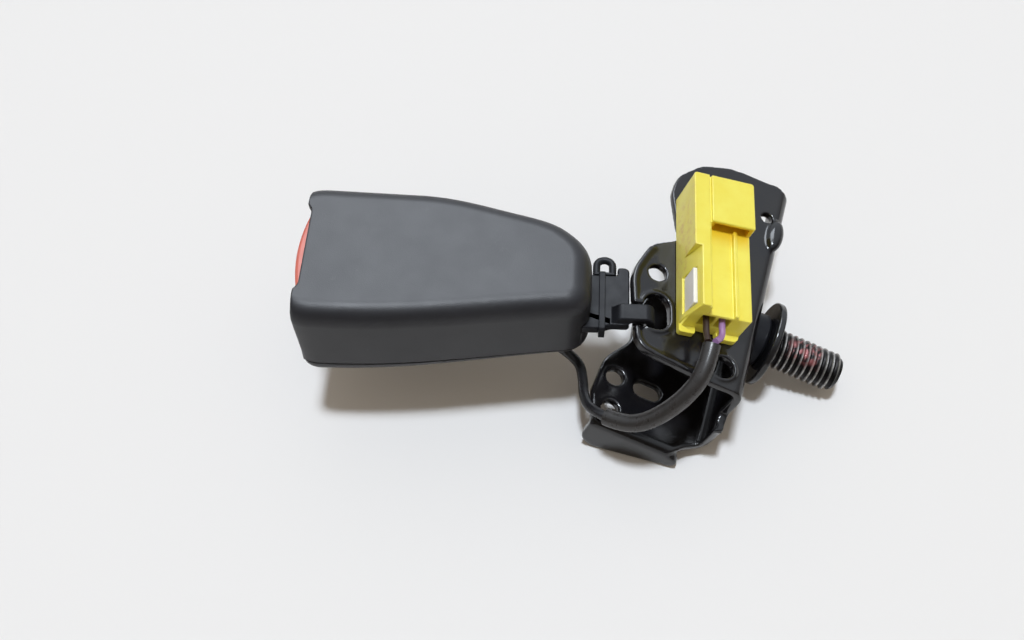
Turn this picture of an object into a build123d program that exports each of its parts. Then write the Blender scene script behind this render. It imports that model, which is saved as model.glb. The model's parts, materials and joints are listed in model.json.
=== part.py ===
"""Seat belt buckle on a stamped anchor bracket, with its switch lead and two-way connector.

Frame: +X runs from the tongue mouth to the anchor bolt, +Y to the far side, +Z up, floor at z = 0.
The buckle lies along X. The bracket, its bolt and the connector are built on tilted planes.
All lengths are in millimetres.
"""
from build123d import *
import os
from math import cos, pi, radians, sin, tan

os.makedirs("parts", exist_ok=True)

# ------------------------------------------------------------------ driving dimensions
# Place of the buckle's rear end in the object's frame
buckle_x = 2.563
buckle_y = -6.972
mid_z = 35.0  # height of the casing's middle above the floor

# Casing
mouth_setback = 7.0  # from the mouth to the frame's front
casing_front_width = 43.2
casing_front_height = 27.0
casing_rear_height = 23.0
casing_wall = 2.0
casing_top_radius = 5.5
casing_bottom_radius = 4.0
far_shoulder = 46.0  # the far side is straight in front of this, and the near side of the next
near_shoulder = 68.0
far_waist = (20.0, 17.1)  # from the rear end, and out from the middle
far_rear_half = 12.4
near_rear_half = 14.4
near_draft = 7.0  # degrees that the near side leans out from its rear corner
rear_corner = 7.0
parting_drop = 8.5  # parting line below the casing's middle
mouth_notch_width = 31.0
mouth_notch_depth = 1.2
mouth_notch_ramp = 4.0
front_run_out = 1.0  # extra length that is trimmed off, so that the mouth keeps its full section

# Sheet parts of the mechanism
frame_width = 30.0
frame_sheet = 2.5
frame_wall_sheet = 2.0
frame_lip = 2.5  # base in front of the side walls
frame_wall_height = 9.9
frame_wall_margin = 2.5  # side walls behind the latch's pivot
tail_step = 6.5  # from the side walls' end to the narrow tail
frame_tail_width = 15.0
frame_rear = 5.0
tongue_plane_drop = 3.0  # upper face of the frame's base below the casing's middle

# Strap
strap_width = 17.0  # where it is riveted to the frame
strap_sheet = 2.6
strap_front = 24.0  # distances along X are from the casing's rear end
strap_reach = 10.2
strap_far_edge = 7.5  # where it leaves the casing
strap_near_edge = 10.9
strap_flare = 1.3  # extra width of the near edge at the casing
strap_waist_edge = 4.8  # far edge behind the cable loop
strap_waist_end = 7.1
neck_width = 5.0
neck_sheet = 2.2
rivet_radius = 3.0
rivet_head_radius = 4.5
rivet_head_height = 1.5
rivet_from_rear = 14.0

# Tongue mouth
slot_width = 26.0
slot_height = 4.8
guide_depth = 6.0
guide_rim_height = 0.8

# Button and lock bar
button_width = 29.0
button_clearance = 0.55
button_body_width = 24.8
button_body_length = 8.5
button_bulge = 1.4
button_wall = 2.5
button_floor = 1.3
button_travel = 4.5
lock_bar_radius = 1.5
lock_bar_length = 29.0
lock_bar_height = 8.0  # its axis above the frame's base

# Latch, ejector and springs
latch_pivot_setback = 12.0  # latch pivot in front of the strap's end
latch_pivot_height = 6.9
latch_pin_radius = 1.25
latch_hub_radius = 2.35
latch_length = 20.0
latch_width = 18.0
latch_sheet = 1.7
ejector_length = 10.0
ejector_width = 10.0
ejector_height = 3.2
ejector_spring_length = 14.0
window_space = 14.0  # from the ejector's front to the lock bar's window
bar_window_setback = 6.0  # from the lock bar's window to the frame's front
ejector_travel = 9.0
ejector_keel_width = 8.4
spring_wire = 0.5

# Switch
switch_length = 8.0
switch_width = 8.6
switch_height = 8.4
magnet_length = 3.0
magnet_width = 2.2
lead_radius = 1.0
cable_radius = 1.4

# Bracket stamping, in its own tilted frame
bracket_from_buckle = (43.92, 1.29, 14.02)  # the bolt hole's centre on the web's outer face
bracket_yaw = -14.0
bracket_pitch = -16.0
sheet = 2.5
channel_height = 24.5
channel_reach = 36.0
bend_radius = 4.0
ear_hole_radius = 2.5
far_hole_radius = 1.7
hook_slot_length = 10.6
hook_slot_width = 7.2
slot_rim = 1.0
slot_rim_height = 0.7
ear_bead = 1.4
ear_bead_height = 0.6
bead_from = -12.5
bead_to = 6.0

# Anchor bolt and what sits on it
bolt_radius = 5.55  # 7/16 inch
bolt_tip = 27.5
bolt_head_radius = 8.8
bolt_head_height = 5.8
bolt_socket = 8.0
bolt_chamfer = 1.1
bolt_relief = 1.0  # length of the undercut between the plain shank and the thread
bolt_relief_depth = 0.65
shank_spare = 0.6  # plain shank beyond the washer
bush_radius = 7.6
bush_length = 4.5
washer_radius = 12.0
washer_sheet = 2.0

# Connector, in its own frame on the bracket's upper flange
connector_corner = (-22.6, -15.6)
connector_turn = 13.5
connector_width = 17.2
connector_length = 41.5
connector_height = 13.5
connector_rail = 5.0
connector_step = 4.0
connector_step_length = 26.5
connector_wall = 1.2
cavity_width = 3.4
cavity_height = 4.4
cavity_pitch = 4.4
cavity_depth = 22.0
wire_radius = 0.85
sleeve_radius = 2.4

# Named fits
running_fit = 0.05
slide_fit = 0.3
seat_gap = 0.1
part_fit = 0.2

# ------------------------------------------------------------------ derived lengths
ejector_front = strap_front + ejector_spring_length + ejector_length
latch_pivot_from_rear = strap_front + latch_pivot_setback
bar_window_front = ejector_front + window_space
frame_front = bar_window_front + bar_window_setback
frame_wall_front = frame_front - frame_lip
frame_wall_rear = latch_pivot_from_rear - frame_wall_margin
frame_tail_from = frame_wall_rear - tail_step
casing_length = frame_front + mouth_setback
casing_slope = (casing_front_height - casing_rear_height) / 2 / casing_length

# ------------------------------------------------------------------ derived levels and planes
parting_z = mid_z - parting_drop
base_top = mid_z - tongue_plane_drop
base_bottom = base_top - frame_sheet
strap_bottom = base_top
strap_top = strap_bottom + strap_sheet
slot_bottom = base_top - seat_gap * 2
slot_top = slot_bottom + slot_height
button_bottom = slot_top + 1.0 + slide_fit
mouth_ceiling = mid_z + casing_front_height / 2 - casing_wall
button_top = mouth_ceiling - casing_slope * (casing_length - bar_window_front) - button_clearance
button_height = button_top - button_bottom
lock_bar_z = base_top + lock_bar_height
latch_z = base_top + latch_pivot_height
upper_face = channel_height / 2
lower_face = -channel_height / 2


def level(z):
    """A horizontal sketch plane at height z, measured from the casing's rear end."""
    return Plane(origin=(buckle_x, buckle_y, z))


def profile(y):
    """An upright sketch plane along the buckle: sketch x is X and sketch y is Z."""
    return Plane(origin=(buckle_x, buckle_y + y, 0), x_dir=(1, 0, 0), z_dir=(0, -1, 0))


def station(x):
    """An upright sketch plane across the buckle: sketch x is Y and sketch y is Z."""
    return Plane(origin=(buckle_x + x, buckle_y, 0), x_dir=(0, 1, 0), z_dir=(1, 0, 0))


def place(point):
    """A point given from the casing's rear end, in the object's frame."""
    return (buckle_x + point[0], buckle_y + point[1], point[2])


bolt_direction = Vector(
    cos(radians(bracket_yaw)) * cos(radians(bracket_pitch)),
    sin(radians(bracket_yaw)) * cos(radians(bracket_pitch)),
    sin(radians(bracket_pitch)),
)
bracket_side = Vector(0, 0, 1).cross(bolt_direction).normalized()
bracket_plane = Plane(
    origin=place(bracket_from_buckle),
    x_dir=bolt_direction,
    z_dir=bolt_direction.cross(bracket_side),
)


def flange_level(height):
    """A sketch plane parallel to the bracket's flanges, height above the bolt's axis."""
    return bracket_plane.offset(height)


def bracket_point(a, b, c):
    """A point a along the bolt, b across and c above it, in the object's frame."""
    return bracket_plane.from_local_coords(Vector(a, b, c))


def bracket_section(b):
    """A sketch plane across the bracket's channel: sketch x is along the bolt, y is up."""
    return Plane(origin=bracket_point(0, b, 0), x_dir=bracket_plane.x_dir, z_dir=-bracket_plane.y_dir)


def web_plane(a):
    """A sketch plane parallel to the bracket's web: sketch x is across, y is up."""
    return Plane(origin=bracket_point(a, 0, 0), x_dir=bracket_plane.y_dir, z_dir=bracket_plane.x_dir)


connector_x = bracket_plane.x_dir * cos(radians(connector_turn)) + bracket_plane.y_dir * sin(
    radians(connector_turn)
)
connector_plane = Plane(
    origin=bracket_point(*connector_corner, upper_face + seat_gap),
    x_dir=connector_x,
    z_dir=bracket_plane.z_dir,
)


def connector_level(height):
    """A sketch plane over the connector's underside."""
    return connector_plane.offset(height)


def connector_face(y):
    """A sketch plane parallel to the connector's wire face: sketch x is its width."""
    return Plane(
        origin=connector_plane.from_local_coords(Vector(0, y, 0)),
        x_dir=connector_plane.x_dir,
        z_dir=-connector_plane.y_dir,
    )


def finish(builder, label):
    """Label a finished piece and write its STEP file."""
    builder.part.label = label
    export_step(builder.part, f"parts/{label}.step")


# ------------------------------------------------------------------ casing
def casing_form(inset):
    """The casing's smooth outer form, or the same form drawn in by inset."""
    half = casing_front_width / 2 - inset
    far_rear = far_rear_half - inset
    near_rear = near_rear_half - inset
    corner = rear_corner - inset
    front = -casing_length - front_run_out
    rear = -inset
    far_end = (0.8, -0.6)
    front_half_height = casing_front_height / 2 + casing_slope * front_run_out - inset
    rear_half_height = casing_rear_height / 2 - inset
    with BuildPart() as form:
        with BuildSketch(level(0)):
            with BuildLine():
                Line((front, half), (-far_shoulder, half))
                Spline(
                    (-far_shoulder, half),
                    (-far_waist[0], far_waist[1] - inset),
                    (-rear_corner, far_rear),
                    tangents=((1, 0), far_end),
                )
                Spline((-rear_corner, far_rear), (rear, 0), tangents=(far_end, (0, -1)))
                Line((rear, 0), (rear, corner - near_rear))
                rounded = CenterArc((rear - corner, corner - near_rear), corner, 0, near_draft - 90)
                Spline(rounded @ 1, (-near_shoulder, -half), tangents=(rounded % 1, (-1, 0)))
                Polyline((-near_shoulder, -half), (front, -half), (front, half))
            make_face()
        extrude(amount=mid_z + casing_front_height)
        with BuildSketch(profile(0)):
            with BuildLine():
                Polyline(
                    (front, mid_z + front_half_height),
                    (0, mid_z + rear_half_height),
                    (0, mid_z - rear_half_height),
                    (front, mid_z - front_half_height),
                    close=True,
                )
            make_face()
        extrude(amount=casing_front_width, both=True, mode=Mode.INTERSECT)
        fillet(long_rims(form, 1), radius=casing_top_radius - inset)
        fillet(long_rims(form, -1), radius=casing_bottom_radius - inset)
    return form.part


def long_rims(form, side):
    """The edges round the casing's top (side 1) or bottom (side -1), without those at its mouth."""
    mouth_x = buckle_x - casing_length - front_run_out / 2
    lying = [edge for edge in form.edges() if edge.bounding_box().size.Z < casing_wall + 0.5]
    behind = [edge for edge in lying if edge.center().X > mouth_x]
    return [edge for edge in behind if side * (edge.center().Z - mid_z) > casing_rear_height / 4]


outer_form = casing_form(0.0)
inner_form = casing_form(casing_wall)


def casing_half(lower, upper):
    """The part of the casing's wall between two heights, cut square at the mouth."""
    with BuildPart() as half:
        add(outer_form)
        add(inner_form, mode=Mode.SUBTRACT)
        with BuildSketch(level(lower)):
            with Locations((-casing_length / 2, 0)):
                Rectangle(casing_length, casing_front_width + 2)
        extrude(amount=upper - lower, mode=Mode.INTERSECT)
    return half.part


lead_exit = (-9.5, -6.0)
grommet_radius = 2.6
gate_far = strap_far_edge + part_fit
gate_near = strap_near_edge + strap_flare + part_fit
gate_top = strap_top + part_fit
sill_top = strap_bottom - part_fit

with BuildPart() as strap_gate:
    with BuildSketch(station(-rear_corner - casing_wall)):
        with Locations(((gate_far - gate_near) / 2, (gate_top + parting_z) / 2)):
            Rectangle(gate_far + gate_near, gate_top - parting_z)
    extrude(amount=2 * rear_corner)

with BuildPart() as upper_cover:
    add(casing_half(parting_z, mid_z + casing_front_height))
    with BuildSketch(level(mid_z + 3)):
        with BuildLine():
            notch = Polyline(
                (-casing_length, -mouth_notch_width / 2),
                (-casing_length - 1, -mouth_notch_width / 2),
                (-casing_length - 1, mouth_notch_width / 2),
                (-casing_length, mouth_notch_width / 2),
            )
            notch_floor = Line(
                (mouth_notch_depth - casing_length, mouth_notch_width / 2 - mouth_notch_ramp),
                (mouth_notch_depth - casing_length, mouth_notch_ramp - mouth_notch_width / 2),
            )
            Spline(notch @ 1, notch_floor @ 0, tangents=((0, -1), (0, -1)))
            Spline(notch_floor @ 1, notch @ 0, tangents=((0, -1), (0, -1)))
        make_face()
    extrude(amount=casing_front_height, mode=Mode.SUBTRACT)
    add(strap_gate.part, mode=Mode.SUBTRACT)
finish(upper_cover, "upper_cover")

with BuildPart() as gate_sill:
    add(casing_half(parting_z, sill_top))
    with BuildSketch(station(-rear_corner - casing_wall + part_fit)):
        with Locations(((gate_far - gate_near) / 2, (sill_top + parting_z) / 2)):
            Rectangle(gate_far + gate_near - 2 * part_fit, sill_top - parting_z)
    extrude(amount=2 * rear_corner, mode=Mode.INTERSECT)

with BuildPart() as lower_cover:
    add(casing_half(mid_z - casing_front_height, parting_z))
    add(gate_sill.part)
    with BuildSketch(level(mid_z - casing_front_height)):
        with Locations(lead_exit):
            Circle(grommet_radius)
    extrude(amount=casing_front_height - parting_drop, mode=Mode.SUBTRACT)
finish(lower_cover, "lower_cover")

inner_bottom = mid_z - casing_front_height / 2 + casing_wall
guide_front = -casing_length + 0.5
guide_width = casing_front_width - 2 * casing_wall - 2 * part_fit

with BuildPart() as tongue_guide:
    with BuildSketch(station(guide_front)):
        with Locations((0, (inner_bottom + part_fit * 3 + slot_top + guide_rim_height) / 2)):
            Rectangle(guide_width, slot_top + guide_rim_height - inner_bottom - part_fit * 3)
    extrude(amount=guide_depth)
    add(inner_form, mode=Mode.INTERSECT)
    with BuildSketch(station(guide_front)):
        with Locations((0, (slot_bottom + slot_top) / 2)):
            Rectangle(slot_width, slot_height)
    extrude(amount=guide_depth, mode=Mode.SUBTRACT)
finish(tongue_guide, "tongue_guide")

# ------------------------------------------------------------------ steel frame and strap
frame_inner = frame_width - 2 * frame_wall_sheet
bar_rest = bar_window_front - lock_bar_radius - slide_fit
button_rear = -bar_window_front
bar_window_rear = bar_rest - lock_bar_radius - button_travel - slide_fit
keel_slot_front = ejector_front - 0.5
keel_length = ejector_length - 4.0
keel_slot_rear = ejector_front - ejector_length - ejector_travel + 1.5
spring_tab_x = bar_window_rear - 8.0
spring_tab_sheet = 1.5
spring_tab_reach = 3.7

with BuildPart() as buckle_frame:
    with BuildSketch(level(base_bottom)):
        with Locations((-(frame_front + frame_tail_from) / 2, 0)):
            RectangleRounded(frame_front - frame_tail_from, frame_width, 2.0)
        with Locations((-(frame_tail_from + 4 + frame_rear) / 2, 0)):
            RectangleRounded(frame_tail_from + 4 - frame_rear, frame_tail_width, 2.0)
        with Locations((-(keel_slot_front + keel_slot_rear) / 2, 0)):
            Rectangle(keel_slot_front - keel_slot_rear, ejector_keel_width + 0.6, mode=Mode.SUBTRACT)
        with Locations((-rivet_from_rear, 0)):
            Circle(rivet_radius + running_fit, mode=Mode.SUBTRACT)
    extrude(amount=frame_sheet)
    for side in (-1, 1):
        wall_y = side * (frame_width - frame_wall_sheet) / 2
        with BuildSketch(profile(wall_y)):
            with Locations((-(frame_wall_front + frame_wall_rear) / 2, base_top + frame_wall_height / 2)):
                Rectangle(frame_wall_front - frame_wall_rear, frame_wall_height)
            with Locations((-(bar_window_front + bar_window_rear) / 2, lock_bar_z)):
                Rectangle(
                    bar_window_front - bar_window_rear + slide_fit,
                    2 * (lock_bar_radius + part_fit),
                    mode=Mode.SUBTRACT,
                )
            with Locations((-latch_pivot_from_rear, latch_z)):
                Circle(latch_pin_radius + running_fit, mode=Mode.SUBTRACT)
        extrude(amount=frame_wall_sheet / 2, both=True)
        tab_y = side * (frame_inner - spring_tab_reach) / 2
        with BuildSketch(station(-spring_tab_x)):
            with Locations((tab_y, lock_bar_z)):
                Rectangle(spring_tab_reach, 4.0)
        extrude(amount=spring_tab_sheet)
finish(buckle_frame, "buckle_frame")

hook_rise = 2.3
hook_cross_from = 9.0
hook_cross_to = 15.6
hook_y = -8.0
hook_drop = 8.5
hook_root = 4.4  # length of the neck that runs into the strap's plate
strap_axis_z = strap_bottom + strap_sheet / 2
neck_z = strap_axis_z + hook_rise
tail_half = strap_width / 2
flare_edge = strap_near_edge + strap_flare
strap_outline = [
    (-strap_front, tail_half),
    (-strap_front, -tail_half),
    (-rear_corner - casing_wall, -tail_half),
    (-casing_wall, -flare_edge),
    (2.0, -flare_edge),
    (5.5, -strap_near_edge),
    (strap_reach, -strap_near_edge),
    (strap_reach, strap_far_edge),
    (strap_waist_end, strap_far_edge),
    (strap_waist_end, strap_waist_edge),
    (0.5, strap_waist_edge),
    (-2.2, strap_far_edge),
    (-rear_corner - casing_wall, strap_far_edge),
    (-rear_corner - 2 * casing_wall, tail_half),
]
strap_radii = [1.5, 1.5, 3, 1, 2, 4, 1, 1.5, 0.6, 0.8, 1, 1, 1, 1]

with BuildPart() as anchor_strap:
    with BuildSketch(level(strap_bottom)):
        with BuildLine():
            FilletPolyline(*strap_outline, radius=strap_radii, close=True)
        make_face()
        with Locations((-rivet_from_rear, 0)):
            Circle(rivet_radius + running_fit, mode=Mode.SUBTRACT)
    extrude(amount=strap_sheet)
    with BuildSketch(profile(hook_y + neck_width / 2)):
        with BuildLine():
            FilletPolyline(
                (strap_reach - hook_root, strap_axis_z),
                (hook_cross_from - 1.0, neck_z),
                (hook_cross_to, neck_z),
                (hook_cross_to, neck_z - hook_drop),
                radius=(1.4, 1.4),
            )
        trace(line_width=neck_sheet)
    extrude(amount=neck_width, both=False)
finish(anchor_strap, "anchor_strap")

with BuildPart() as frame_rivet:
    with BuildSketch(level(base_bottom - rivet_head_height)):
        with Locations((-rivet_from_rear, 0)):
            Circle(rivet_head_radius)
    extrude(amount=rivet_head_height)
    with BuildSketch(level(base_bottom)):
        with Locations((-rivet_from_rear, 0)):
            Circle(rivet_radius)
    extrude(amount=frame_sheet + strap_sheet)
    with BuildSketch(level(strap_top)):
        with Locations((-rivet_from_rear, 0)):
            Circle(rivet_head_radius)
    extrude(amount=rivet_head_height, taper=25)
finish(frame_rivet, "frame_rivet")

clip_sheet = 0.8
clip_from = 2.2
clip_length = 1.6
clip_wire = 1.0
loop_near_leg = 1.5
loop_far_leg = 5.8
loop_reach = 5.6
clip_far = strap_waist_edge + part_fit + clip_sheet
clip_near = flare_edge + part_fit + clip_sheet

with BuildPart() as strap_clip:
    with BuildSketch(station(clip_from)):
        with Locations(((clip_far - clip_near) / 2, strap_axis_z)):
            RectangleRounded(clip_far + clip_near, strap_sheet + 2 * (clip_sheet + part_fit), 1.0)
            Rectangle(
                clip_far + clip_near - 2 * clip_sheet, strap_sheet + 2 * part_fit, mode=Mode.SUBTRACT
            )
    extrude(amount=clip_length)
    with BuildSketch(profile(clip_far - clip_sheet)):
        with Locations(((loop_near_leg + loop_far_leg) / 2, strap_axis_z)):
            Rectangle(loop_far_leg - loop_near_leg + clip_wire, strap_sheet)
    extrude(amount=-clip_sheet)
    with BuildLine(Plane(origin=(buckle_x, buckle_y, strap_axis_z))) as loop:
        FilletPolyline(
            (loop_near_leg, clip_far - clip_sheet / 2),
            (loop_near_leg, clip_far + loop_reach - clip_sheet),
            (loop_far_leg, clip_far + loop_reach - clip_sheet),
            (loop_far_leg, clip_far - clip_sheet / 2),
            radius=2.1,
        )
    with BuildSketch(Plane(origin=loop.line @ 0, z_dir=loop.line % 0)):
        Circle(clip_wire)
    sweep(path=loop.line)
finish(strap_clip, "strap_clip")

# ------------------------------------------------------------------ button, lock bar, latch
button_recess = 0.2
button_front = -casing_length + mouth_notch_depth - button_recess
head_rear = -(frame_wall_front + button_travel + slide_fit)

with BuildPart() as release_button:
    with BuildSketch(level(button_bottom)):
        with BuildLine():
            ThreePointArc(
                (button_front, -button_width / 2),
                (button_front - button_bulge - 0.9, 0),
                (button_front, button_width / 2),
            )
            Polyline(
                (button_front, button_width / 2),
                (head_rear, button_width / 2),
                (head_rear, button_body_width / 2),
                (button_rear, button_body_width / 2),
                (button_rear, -button_body_width / 2),
                (head_rear, -button_body_width / 2),
                (head_rear, -button_width / 2),
                (button_front, -button_width / 2),
            )
        make_face()
    extrude(amount=button_height)
    front_rims = [
        edge
        for edge in release_button.edges().filter_by(GeomType.CIRCLE)
        if edge.center().X < buckle_x + button_front
    ]
    fillet(front_rims, radius=1.0)
    with BuildSketch(station(button_rear)):
        with Locations((0, button_bottom + button_height / 2)):
            Rectangle(button_body_width - 2 * button_wall, button_height - 2 * button_floor)
    extrude(amount=-button_body_length, mode=Mode.SUBTRACT)
finish(release_button, "release_button")

with BuildPart() as lock_bar:
    with BuildSketch(profile(lock_bar_length / 2)):
        with Locations((-bar_rest, lock_bar_z)):
            Circle(lock_bar_radius)
    extrude(amount=lock_bar_length)
finish(lock_bar, "lock_bar")

with BuildPart() as latch_pin:
    with BuildSketch(profile(frame_width / 2)):
        with Locations((-latch_pivot_from_rear, latch_z)):
            Circle(latch_pin_radius)
    extrude(amount=frame_width)
finish(latch_pin, "latch_pin")

with BuildPart() as latch:
    with BuildSketch(profile(latch_width / 2)):
        with Locations((-latch_pivot_from_rear, latch_z)):
            Circle(latch_hub_radius)
        with Locations((-latch_pivot_from_rear, latch_z - latch_hub_radius)):
            Rectangle(latch_length, latch_sheet, align=(Align.MAX, Align.MIN))
        with Locations((-latch_pivot_from_rear, latch_z)):
            Circle(latch_pin_radius + running_fit, mode=Mode.SUBTRACT)
    extrude(amount=latch_width)
finish(latch, "latch")

# ------------------------------------------------------------------ ejector and its magnet
ejector_bottom = base_top + part_fit / 2
keel_front = ejector_front - 1.0
magnet_y = -(ejector_width - magnet_width) / 2
magnet_from_rear = ejector_front - ejector_length + magnet_length / 2 + 1.0

with BuildPart() as ejector:
    with BuildSketch(level(ejector_bottom)):
        with Locations((-ejector_front + ejector_length / 2, 0)):
            RectangleRounded(ejector_length, ejector_width, 0.8)
        with Locations((-magnet_from_rear, magnet_y)):
            Rectangle(magnet_length, magnet_width, mode=Mode.SUBTRACT)
    extrude(amount=ejector_height)
    with BuildSketch(level(base_bottom + part_fit)):
        with Locations((-keel_front + keel_length / 2, 0)):
            Rectangle(keel_length, ejector_keel_width)
    extrude(amount=frame_sheet)
finish(ejector, "ejector")

with BuildPart() as ejector_magnet:
    with BuildSketch(level(ejector_bottom + 0.4)):
        with Locations((-magnet_from_rear, magnet_y)):
            Rectangle(magnet_length, magnet_width)
    extrude(amount=ejector_height - 0.4)
finish(ejector_magnet, "ejector_magnet")


# ------------------------------------------------------------------ springs
def coil(start, direction, length, radius, turns):
    """A wire helix of one round section from start along direction."""
    helix_length = length - spring_wire
    with BuildPart() as wound:
        with BuildLine() as path:
            Helix(
                pitch=helix_length / turns,
                height=helix_length,
                radius=radius,
                center=Vector(*start) + Vector(*direction) * (spring_wire / 2),
                direction=direction,
            )
        with BuildSketch(Plane(origin=path.line @ 0, z_dir=path.line % 0)):
            Circle(spring_wire / 2)
        sweep(path=path.line, is_frenet=True)
    return wound.part


spring_seat = bar_rest - lock_bar_radius
spring_side_gap = 2.0
button_spring_y = frame_inner / 2 - spring_side_gap

with BuildPart() as button_springs:
    for side in (-1, 1):
        add(
            coil(
                place((-spring_seat, side * button_spring_y, lock_bar_z)),
                (1, 0, 0),
                spring_seat - spring_tab_x,
                1.3,
                7,
            )
        )
finish(button_springs, "button_springs")

with BuildPart() as ejector_spring:
    add(
        coil(
            place((-(ejector_front - ejector_length), 0, ejector_bottom + 1.7)),
            (1, 0, 0),
            ejector_spring_length,
            1.3,
            6,
        )
    )
finish(ejector_spring, "ejector_spring")

latch_spring_setback = 8.5
latch_spring_x = latch_pivot_from_rear + latch_spring_setback
latch_top = latch_z - latch_hub_radius + latch_sheet
inner_top = mouth_ceiling - casing_slope * (casing_length - latch_spring_x)

with BuildPart() as latch_spring:
    add(
        coil(
            place((-latch_spring_x, 0, latch_top)),
            (0, 0, 1),
            inner_top - latch_top,
            2.0,
            4,
        )
    )
finish(latch_spring, "latch_spring")

# ------------------------------------------------------------------ buckle switch
switch_from = frame_wall_rear - 0.5
switch_y = -(frame_width / 2 - 0.8 - switch_width / 2)

with BuildPart() as switch_housing:
    with BuildSketch(level(base_top)):
        with Locations((-switch_from + switch_length / 2, switch_y)):
            RectangleRounded(switch_length, switch_width, 0.8)
    extrude(amount=switch_height)
    with BuildSketch(level(base_top + 1.0)):
        with Locations((-switch_from + switch_length / 2, switch_y)):
            Rectangle(switch_length - 2.0, switch_width - 2.0)
    extrude(amount=switch_height, mode=Mode.SUBTRACT)
finish(switch_housing, "switch_housing")

with BuildPart() as switch_board:
    with BuildSketch(level(base_top + 1.0)):
        with Locations((-switch_from + switch_length / 2, switch_y)):
            Rectangle(1.2, switch_width - 2.2)
    extrude(amount=switch_height - 2.2)
finish(switch_board, "switch_board")

with BuildPart() as switch_cap:
    with BuildSketch(level(base_top + switch_height - 1.0)):
        with Locations((-switch_from + switch_length / 2, switch_y)):
            Rectangle(switch_length - 2.2, switch_width - 2.2)
    extrude(amount=1.6)
finish(switch_cap, "switch_cap")

# ------------------------------------------------------------------ bracket stamping
web_near = -27.0
lower_near = -38.5
lip_left = -32.4
lip_right = -10.0
lip_bend = 2.2
lip_end_radius = 4.5
lip_slot_centre = (-26.8, -12.0)
lip_slot_length = 3.4
lip_slot_height = 1.5
foot_radius = 2.6
ear_slant = 14.7
hook_slot_centre = (-28.6, -13.3)
hook_seat_centre = (-32.4, -16.0)
hook_seat_length = 13.0
hook_seat_width = neck_width + 1.4
hook_seat_depth = 1.4
near_hole_centre = (-7.9, -21.4)
near_hole_radius = 3.1
near_hole_collar = 0.9
ear_hole_centre = (-31.2, -1.2)
far_hole_centre = (-5.6, 32.0)
lower_hole_centres = [(-29.8, -22.6), (-28.6, -32.6)]
lower_slot_centre = (-20.2, -22.8)
lower_slot_length = 8.0
lower_slot_width = 4.8
upper_outline = [
    (0.5, web_near),
    (-12.0, web_near),
    (-31.3, -25.7),
    (-38.2, -4.0),
    (-35.2, 7.0),
    (-27.4, 12.4),
    (-29.8, 16.5),
    (-33.8, 26.5),
    (-33.6, 33.0),
    (-27.6, 40.5),
    (-19.0, 44.0),
    (-4.5, 44.6),
    (0.5, 43.0),
]
upper_radii = [0, 12, 6, 14, 8, 2.5, 4, 8, 8, 8, 8, 4, 0]
lower_outline = [
    (0.5, -31.0),
    (-6.0, -34.6),
    (lip_right, lower_near),
    (lip_left, lower_near),
    (-35.0, -29.0),
    (-34.2, -18.0),
    (-28.4, -9.5),
    (-29.6, 0.0),
    (-27.0, 9.5),
    (-20.0, 14.0),
    (0.5, 16.0),
]
lower_radii = [0, 6, 0.5, lip_end_radius, 6, 8, 6, 8, 4, 4, 0]


def channel_line(inset, reach):
    """The channel's section drawn in by inset, open end at reach along the flanges."""
    half = channel_height / 2 - inset
    corner = bend_radius - inset
    return FilletPolyline(
        (-reach, -half), (-inset, -half), (-inset, half), (-reach, half), radius=(corner, corner)
    )


def floor_height(a):
    """The height, in the bracket's frame, at which the floor lies a along the bolt."""
    origin = bracket_point(0, 0, 0)
    return -(origin.Z + a * bracket_plane.x_dir.Z) / bracket_plane.z_dir.Z


with BuildPart() as channel_mask:
    with BuildSketch(flange_level(0)):
        with BuildLine():
            FilletPolyline(*upper_outline, radius=upper_radii, close=True)
        make_face()
    extrude(amount=upper_face + 1)
    with BuildSketch(flange_level(0)):
        with BuildLine():
            FilletPolyline(*lower_outline, radius=lower_radii, close=True)
        make_face()
    extrude(amount=lower_face - 1)
    with BuildSketch(web_plane(1)):
        with BuildLine():
            Polyline(
                (web_near, 1), (lower_near + 6.0, -1), (15, -1), (43, 1), (web_near, 1)
            )
        make_face()
    extrude(amount=-(sheet + bend_radius))


channel_blank_length = 92.0
blank_reach = channel_reach + 5.0

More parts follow.
